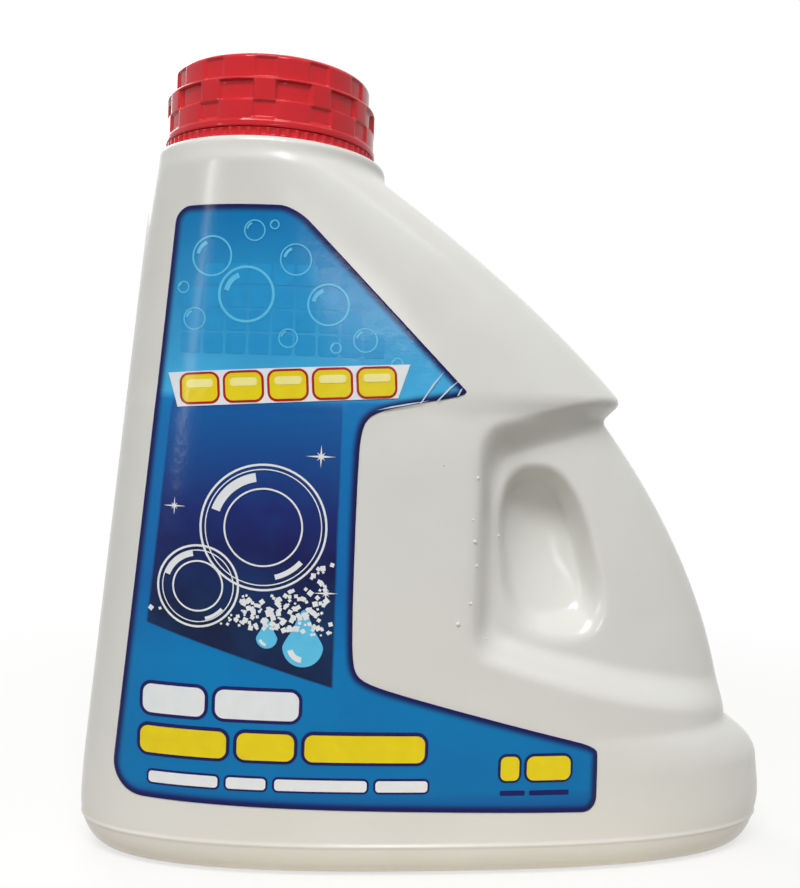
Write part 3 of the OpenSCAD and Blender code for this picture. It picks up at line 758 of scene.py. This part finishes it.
def loosePile():  # small cubes that tumble down the dark panel in a fan
    draw = np.random.default_rng(11)
    (x0, z0), (runX, runZ) = printing["pileStart"], printing["pileRun"]
    shapes = []
    while len(shapes) < printing["cubes"]:
        t = draw.uniform(0, 1)
        x = x0 + runX * t + draw.normal() * 1.6
        z = z0 + runZ * t + abs(draw.normal()) * (5.5 + 9.0 * t * t) - 1.5
        size = draw.uniform(*printing["cubeSize"])
        if not -69.5 < x < -27.4 or z > 100 or z < 59 - 0.3 * (x + 70):  # off the dark panel
            continue
        if any(math.hypot(x - px, z - pz) < pr + size for px, pz, pr in printing["plates"]):
            continue
        turn = draw.uniform(0, 1.57)
        corners = [(math.cos(turn + k * math.pi / 2), math.sin(turn + k * math.pi / 2)) for k in range(4)]
        shapes.append(np.array([(x + size * 0.7 * cx, z + size * 0.7 * cz) for cx, cz in corners]))
    return shapes


def tabletShapes():  # the tablets on the ribbon: their edges, themselves and their highlights
    x0, z0, x1, z1, rise = printing["ribbon"]
    wide, tall = printing["tabletSize"]
    tilt = math.degrees(math.atan2(rise, x1 - x0))
    edges, gold, shine = [], [], []
    for k in range(printing["tablets"]):
        t = (k + 0.75) / (printing["tablets"] + 0.5)
        x, z = x0 + (x1 - x0) * t - wide / 2, (z0 + z1) / 2 + rise * t - tall / 2
        edges.append(roundedBlock(x, z, wide, tall, 1.6, printing["tabletEdge"], tilt))
        gold.append(roundedBlock(x, z, wide, tall, 1.6, 0, tilt))
        shine.append(roundedBlock(x + 1.0, z + tall * 0.52, wide - 2.0, tall * 0.3, 0.8, 0, tilt))
    return edges, gold, shine


def frontInks():  # sheets of shapes with their layers
    blocks = {key: [roundedBlock(*b) for b in printing[key]] for key in
              ("whiteBlocks", "yellowBlocks", "thinBlocks", "weightBlocks", "smallBlocks")}
    navy = [roundedBlock(*b, grow=printing[width]) for key, width in
            (("whiteBlocks", "outline"), ("yellowBlocks", "outline"), ("thinBlocks", "thinOutline"),
             ("weightBlocks", "weightOutline")) for b in printing[key]] + blocks["smallBlocks"]
    white = [ribbonShape()] + blocks["whiteBlocks"] + blocks["thinBlocks"]
    white += loosePile() + [arm for s in printing["stars"] for arm in star(*s)]
    for x, z, r in printing["drops"]:
        white += band(x, z, r * 0.78, r * 0.5, 195, 70, 14)
    for x, z, r in printing["plates"]:
        for outer, width in ((r, 0.5), (r - 1.2, 0.25), (r * 0.62, 0.4)):
            white += band(x, z, outer, outer - width)
        white += band(x, z, r * 0.86, r * 0.72, 100, 62, 16) + band(x, z, r * 0.84, r * 0.76, 285, 34, 10)
    crimson, gold, shine = tabletShapes()
    yellow = blocks["yellowBlocks"] + blocks["weightBlocks"] + gold
    x0, z0, size, joint, across, rows = printing["tiles"]
    corners = [(x0 + i * size, z0 + k * size) for i in range(across) for k in range(rows)]
    tiles = [roundedBlock(x, z, size - joint, size - joint, 0.7) for x, z in corners
             if x > labelLeft(z + size) + 3 and x + size < labelRight(z + size) - 3]
    pale = [drop(*d) for d in printing["drops"]]
    for x, z, r in printing["bubbles"]:
        pale += band(x, z, r, r - max(0.3, r * 0.09), count=40) + band(x, z, r * 0.8, r * 0.62, 112, 58, 10)
    scuffs = [np.array(s) for s in printing["scuffs"]]
    return [("tileInk", tiles, 0), ("paleInk", pale, 2), ("navyInk", navy, 0), ("whiteInk", white, 4),
            ("crimsonInk", crimson, 6), ("yellowInk", yellow, 8), ("glossInk", shine, 11), ("scuffs", scuffs, 12)]


def backInks():  # a panel of lines, a ring and a block of bars
    x0 = printing["backX"]
    lines = []
    draw = np.random.default_rng(3)
    for row in range(printing["lines"]):
        x = x0 - 3.4
        while x < x0 + 37:
            width = min(draw.uniform(3, 9), x0 + 40 - x)
            lines.append(roundedBlock(x, 92.4 - row * 3.7, width, 1.3, 0.5))
            x += width + 1.4
    bars = []
    for k in range(printing["bars"]):
        left = x0 + 18 + k * 1.35
        right = left + 0.45 + 0.4 * (k % 3 == 0)
        bars.append(np.array([(left, 27), (right, 27), (right, 40), (left, 40)]))
    white = [roundedBlock(*b) for b in ((x0 - 6, 58, 50, 40, 2.5), (x0 - 6, 100, 30, 3.2, 1.2),
                                        (x0 - 6, 47.5, 22, 2.4, 1.0), (x0 + 20, 47.5, 18, 2.4, 1.0),
                                        (x0 + 15.5, 25.4, 28.5, 16.4, 1.2))]
    white += band(x0 + 2, 34, 7, 5.6) + band(x0 + 2, 34, 4.2, 3.6)
    return [("backWhiteInk", white, 0), ("backNavyInk", lines + bars, 1)]


inks = {name: inkSheet(name, shapes, layer) for name, shapes, layer in frontInks()}
backSheets = {name: inkSheet(name, shapes, layer, 1) for name, shapes, layer in backInks()}
print("print made", sum(len(s.data.polygons) for s in inks.values()), "faces")


# Materials: two tones and the size of their cloud, roughness, index of refraction, gloss, and the relief's
# layers from coarse to fine as size, depth and detail

finishes = {
    # High-density polyethylene, blown in a sand-blasted mould: milky and softly glossy, with a fine orange peel
    # that breaks up the lights, and slow waves where the wall shrank
    "blownPolyethylene": ("#e2e2dd", "#d9d8d2", 34.0, (0.19, 0.262), 1.54, 0.42,
                          [(13.0, 0.3, 1.0), (0.9, 0.014, 2.0)]),
    # Polypropylene, injection-moulded in a polished tool: deep even red with sharp lights and slight sink marks
    "mouldedPolypropylene": ("#dc1d29", "#c81420", 9.0, (0.09, 0.16), 1.49, 0.3, [(2.6, 0.03, 2.0)]),
    # Foamed polyethylene, cut from sheet: matt, with the dimples of its open cells
    "foamedPolyethylene": ("#efeeea", "#e4e2dc", 4.0, (0.7, 0.85), 1.45, 0.5, [(0.5, 0.12, 2.0)]),
    # Evaporated salt, loose: bright matt grains with glints from their faces
    "looseSalt": ("#f1f1ee", "#e4e4e0", 2.5, (0.35, 0.6), 1.54, 0.5, [(0.6, 0.3, 2.0)]),
}
# Printing inks under varnish: opaque, with the faint mottle of a screen print
inkTones = {
    "paleInk": ("#6accf2", "#58bfea"), "tileInk": ("#2c9ed8", "#2090cc"), "navyInk": ("#1b1b66", "#171558"),
    "whiteInk": ("#eff2f4", "#e2e7ea"), "yellowInk": ("#f0dc22", "#e6cc16"), "crimsonInk": ("#b81a20", "#a51419"),
    "glossInk": ("#fbf3a6", "#f5ea8c"), "scuffs": ("#d5e2ec", "#c3d6e4"),
}
inkFinish = (3.0, (0.15, 0.22), 1.49, 0.16, [(0.7, 0.012, 2.0)])

# Self-adhesive polypropylene film, printed and varnished: glossy, with small ripples from its adhesive
filmLook = {
    "rimInk": "#0d1157", "rim": (0.3, 2.4), "deep": "#0a5fa4", "deepShare": 0.25, "cloud": 16.0,
    "roughness": 0.17, "gloss": 0.16, "relief": [(7.0, 0.12, 2.0), (0.7, 0.022, 2.0)],
}
# Fields of print: colours and heights of a fade, and edges as x, z, distance and softness of a straight line
panelEdges = [(1, -0.0866, -75.2, 0.3), (-1, 0, 27.2, 0.3), (0.3, 1, 36.2, 0.2), (0, -1, -108, 1.5)]
frontFields = [
    {"low": "#0a3a88", "high": "#0076b4", "z": (14.5, 21), "edges": []},
    {"low": "#0074b2", "high": "#0083c4", "z": (20, 60), "edges": [(0, 1, 21, 0.5)]},
    {"low": "#0468b0", "high": "#0a7cc2", "z": (60, 110), "edges": [(0, 1, 58, 8)]},
    {"low": "#0a062c", "high": "#161466", "z": (60, 86), "edges": panelEdges},
    {"low": "#161466", "high": "#0a5ea8", "z": (84, 108), "edges": panelEdges + [(0, 1, 85, 1.0)]},
    {"low": "#45b4e8", "high": "#007dbb", "z": (116, 150), "edges": [(0, 1, 110, 1.0)]},
]
backFields = [
    {"low": "#0073b0", "high": "#0083c4", "z": (22, 60), "edges": []},
    {"low": "#0a489c", "high": "#0662ac", "z": (50, 100), "edges": [(0, 1, 44, 0.3)]},
]


def addRelief(tree, place, layers, shader):  # each layer's bumps stand on the layer before
    below = {}
    for size, depth, detail in layers:
        waves = addNode(tree, "TexNoise", {"Vector": place, "Scale": 1 / (size * mm), "Detail": detail})
        relief = addNode(tree, "Bump", {"Height": waves.outputs["Fac"], "Distance": depth * mm, "Strength": 1.0,
                                        **below})
        below = {"Normal": relief.outputs["Normal"]}
    tree.links.new(below["Normal"], shader.inputs["Normal"])


def finishOf(name, light, dark, size, roughness, ior, gloss, layers):
    material, tree, shader = newMaterial(name)
    place = addNode(tree, "TexCoord").outputs["Object"]
    cloud = addNode(tree, "TexNoise", {"Vector": place, "Scale": 1 / (size * mm), "Detail": 2.0})
    colour = addNode(tree, "Mix", {0: cloud.outputs["Fac"], 6: hexColour(dark), 7: hexColour(light)},
                     data_type="RGBA")
    tree.links.new(colour.outputs[2], shader.inputs["Base Color"])
    rough = addNode(tree, "MapRange", {"Value": cloud.outputs["Fac"], "From Min": 0.3, "From Max": 0.7,
                                       "To Min": roughness[0], "To Max": roughness[1]})
    tree.links.new(rough.outputs["Result"], shader.inputs["Roughness"])
    addRelief(tree, place, layers, shader)
    shader.inputs["IOR"].default_value = ior
    shader.inputs["Specular IOR Level"].default_value = gloss
    return material


def fieldMask(tree, place, edges):  # 1 inside all the edges; None without any
    mask = None
    for x, z, offset, soft in edges:
        along = addNode(tree, "VectorMath", {0: place, 1: (x, 0, z)}, operation="DOT_PRODUCT")
        inside = addNode(tree, "MapRange", {
            "Value": along.outputs["Value"], "From Min": (offset - soft) * mm, "From Max": (offset + soft) * mm})
        if mask is None:
            mask = inside.outputs["Result"]
        else:
            both = addNode(tree, "Math", {0: mask, 1: inside.outputs["Result"]}, operation="MULTIPLY")
            mask = both.outputs[0]
    return mask


def printedFilm(name, fields):
    material, tree, shader = newMaterial(name)
    place = addNode(tree, "TexCoord").outputs["Object"]
    height = addNode(tree, "SeparateXYZ", {"Vector": place}).outputs["Z"]
    colour = None
    for field in fields:
        bottom, top = field["z"]
        fade = addNode(tree, "MapRange", {"Value": height, "From Min": bottom * mm, "From Max": top * mm})
        ramp = addNode(tree, "Mix", {0: fade.outputs["Result"], 6: hexColour(field["low"]),
                                     7: hexColour(field["high"])}, data_type="RGBA").outputs[2]
        mask = fieldMask(tree, place, field["edges"])
        if mask is not None:
            ramp = addNode(tree, "Mix", {0: mask, 6: colour, 7: ramp}, data_type="RGBA").outputs[2]
        colour = ramp
    cloud = addNode(tree, "TexNoise", {"Vector": place, "Scale": 1 / (filmLook["cloud"] * mm), "Detail": 3.0})
    tint = addNode(tree, "MapRange", {"Value": cloud.outputs["Fac"], "From Min": 0.3, "From Max": 0.7,
                                      "To Max": filmLook["deepShare"]})
    colour = addNode(tree, "Mix", {0: tint.outputs["Result"], 6: colour, 7: hexColour(filmLook["deep"])},
                     data_type="RGBA").outputs[2]
    rim = addNode(tree, "Attribute", attribute_name="rim").outputs["Fac"]
    near, far = filmLook["rim"]
    glow = addNode(tree, "MapRange", {"Value": rim, "From Min": near, "From Max": far},
                   interpolation_type="SMOOTHERSTEP")
    colour = addNode(tree, "Mix", {0: glow.outputs["Result"], 6: hexColour(filmLook["rimInk"]), 7: colour},
                     data_type="RGBA").outputs[2]
    tree.links.new(colour, shader.inputs["Base Color"])
    addRelief(tree, place, filmLook["relief"], shader)
    shader.inputs["Roughness"].default_value = filmLook["roughness"]
    shader.inputs["Specular IOR Level"].default_value = filmLook["gloss"]
    return material


inkMaterials = {name: finishOf(name, *tones, *inkFinish) for name, tones in inkTones.items()}
white, red, foam, grain = (finishOf(name, *finish) for name, finish in finishes.items())
film = printedFilm("printedFilm", frontFields)
backPrint = printedFilm("backFilmPrint", backFields)
print("materials made")


# Which body each piece rides on, its material, its slot, and the solid that it stands for

dress = [
    (bottleShell, "pack", white, "bottle_plastic", ["bottle"]), (neckThread, "pack", white, "bottle_plastic", []),
    (mouldPips, "pack", white, "bottle_plastic", []), (saltBed, "pack", grain, "salt", ["salt"]),
    (saltGrains, "pack", grain, "salt", []), (frontFilm, "pack", film, "label_film", ["front_label"]),
    (backFilm, "pack", backPrint, "label_film", ["back_label"]),
    (ribbedBand, "pack", red, "cap_plastic", ["tamper_band"]),
    (foamLiner, "liner", foam, "liner_foam", ["cap_liner"]),
    (redCap, "screw_cap", red, "cap_plastic", ["cap"]), (capThread, "screw_cap", red, "cap_plastic", []),
]
dress += [(sheet, "pack", inkMaterials[name], "label_film", []) for name, sheet in inks.items()]
dress += [(backSheets["backWhiteInk"], "pack", inkMaterials["whiteInk"], "label_film", []),
          (backSheets["backNavyInk"], "pack", inkMaterials["navyInk"], "label_film", [])]
for piece, body, material, slot, nodes in dress:
    piece.data.materials.clear()
    piece.data.materials.append(material)
    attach(piece, body)
    if nodes:
        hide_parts(*nodes)
print("pieces dressed")


# Floor, lights and camera

stage = {
    # near and far are the floor's colour for bounced light only: a painted pool of warm bounce light round the
    # bottle's foot, fading to painted dark further out, which keeps the bounce from the wider floor dim
    "floorHalf": 3000.0, "floorZ": -0.2, "floor": "#f4f3f0", "near": "#ddcfb8", "far": "#4c4a47",
    "bouncePoolSpan": (50.0, 150.0), "white": (140.0, 360.0), "whiteFrom": 0.68, "floorRoughness": 0.8,
    "ambient": (0.05, 0.38), "ambientHeight": (-0.4, 0.9),
    "lamps": [  # name, place, aim, width and height, power, roll
        ("ceilingLight", (-0.14, -0.70, 1.02), (0, 0, 0.10), (0.80, 0.30), 9.9, 0),
        ("ceilingTube", (0.55, -0.40, 1.10), (0, 0, 0.10), (0.90, 0.06), 0.7, 0),
        ("sideWindow", (-0.70, -0.50, 0.22), (-0.06, -0.02, 0.14), (0.04, 0.30), 0.65, 0),
        ("frontWindow", (0.07, -1.03, 0.28), (-0.02, -0.03, 0.13), (0.32, 0.028), 1.15, 14.5),
        ("backLight", (-0.35, 0.80, 0.60), (0, 0, 0.10), (0.60, 0.50), 3.2, 0),
    ],
}
camera = {"place": (-37.0, -245.7, 104.3), "yaw": 6.14, "pitch": -1.01, "roll": 2.03, "focalPixels": 956.4,
          "longSide": 888, "sensor": 36}


def seenDirectly(tree):  # 1 for rays from the camera, mirrors and glass
    path = addNode(tree, "LightPath").outputs
    seen = addNode(tree, "Math", {0: path["Is Camera Ray"], 1: path["Is Glossy Ray"]}, operation="MAXIMUM")
    seen = addNode(tree, "Math", {0: seen.outputs[0], 1: path["Is Transmission Ray"]}, operation="MAXIMUM")
    return seen.outputs[0]


def makeFloor():  # matt white paper that fades into the white room; for light bouncing off it, its colour is painted: a warm pool of bounce light near the bottle and painted dark further out
    half, z = stage["floorHalf"], stage["floorZ"]
    corners = [(-half, -half, z), (half, -half, z), (half, half, z), (-half, half, z)]
    floor = addMesh("floor", corners, [(0, 1, 2, 3)])
    material, tree, shader = newMaterial("paperSweep")
    seen = seenDirectly(tree)
    place = addNode(tree, "TexCoord").outputs["Object"]
    away = addNode(tree, "VectorMath", {0: place}, operation="LENGTH").outputs["Value"]
    near, far = stage["bouncePoolSpan"]
    dim = addNode(tree, "MapRange", {"Value": away, "From Min": near * mm, "From Max": far * mm})
    # painted bounce light: warm and bright near the bottle, dark further out; the camera sees the floor colour
    # instead
    bounce = addNode(tree, "Mix", {0: dim.outputs["Result"], 6: hexColour(stage["near"]),
                                   7: hexColour(stage["far"])}, data_type="RGBA")
    tone = addNode(tree, "Mix", {0: seen, 6: bounce.outputs[2], 7: hexColour(stage["floor"])},
                   data_type="RGBA")
    tree.links.new(tone.outputs[2], shader.inputs["Base Color"])
    shader.inputs["Roughness"].default_value = stage["floorRoughness"]
    near, far = stage["white"]
    fade = addNode(tree, "MapRange", {"Value": away, "From Min": near * mm, "From Max": far * mm,
                                      "To Min": stage["whiteFrom"]}, interpolation_type="SMOOTHSTEP")
    share = addNode(tree, "Math", {0: fade.outputs["Result"], 1: seen}, operation="MULTIPLY")
    glow = addNode(tree, "Emission", {"Color": (1, 1, 1, 1), "Strength": 1.0})
    mixed = addNode(tree, "MixShader", {0: share.outputs[0], 1: shader.outputs[0], 2: glow.outputs[0]})
    tree.links.new(mixed.outputs[0], tree.nodes["Material Output"].inputs["Surface"])
    floor.data.materials.append(material)


def addLamp(name, place, aim, size, power, roll):
    data = bpy.data.lights.new(name, "AREA")
    data.shape = "RECTANGLE"
    data.size, data.size_y = size
    data.energy = power
    lamp = linked(name, data)
    lamp.location = place
    turn = (Vector(aim) - Vector(place)).to_track_quat("-Z", "Y").to_matrix()
    lamp.rotation_euler = (turn @ Matrix.Rotation(math.radians(roll), 3, "Z")).to_euler()
    lamp.visible_camera = False


def makeWorld():  # white to look at; its light is dim from below and brighter from above
    world = bpy.data.worlds.new("room")
    bpy.context.scene.world = world
    world.use_nodes = True
    tree = world.node_tree
    toSky = addNode(tree, "TexCoord").outputs["Generated"]
    height = addNode(tree, "SeparateXYZ", {"Vector": toSky}).outputs["Z"]
    (low, high), (dim, bright) = stage["ambientHeight"], stage["ambient"]
    light = addNode(tree, "MapRange", {"Value": height, "From Min": low, "From Max": high, "To Min": dim,
                                       "To Max": bright})
    level = addNode(tree, "Mix", {0: seenDirectly(tree), 2: light.outputs["Result"], 3: 1.0})
    background = tree.nodes["Background"]
    background.inputs["Color"].default_value = (1, 1, 1, 1)
    tree.links.new(level.outputs[0], background.inputs["Strength"])


def makeCamera():
    yaw, pitch, roll = (math.radians(camera[k]) for k in ("yaw", "pitch", "roll"))
    ahead = Vector((math.sin(yaw) * math.cos(pitch), math.cos(yaw) * math.cos(pitch), math.sin(pitch)))
    level = Vector((math.cos(yaw), -math.sin(yaw), 0))
    upright = level.cross(ahead)
    sideways = math.cos(roll) * level + math.sin(roll) * upright
    upward = -math.sin(roll) * level + math.cos(roll) * upright
    data = bpy.data.cameras.new("photoCamera")
    data.sensor_width = camera["sensor"]
    data.lens = camera["focalPixels"] / camera["longSide"] * camera["sensor"]
    made = linked("photoCamera", data)
    made.matrix_world = Matrix((sideways, upward, -ahead)).transposed().to_4x4()
    made.location = Vector(camera["place"]) * mm
    bpy.context.scene.camera = made


makeFloor()
for lamp in stage["lamps"]:
    addLamp(*lamp)
makeWorld()
makeCamera()
bpy.context.scene.view_settings.view_transform = "Standard"
print("stage set")
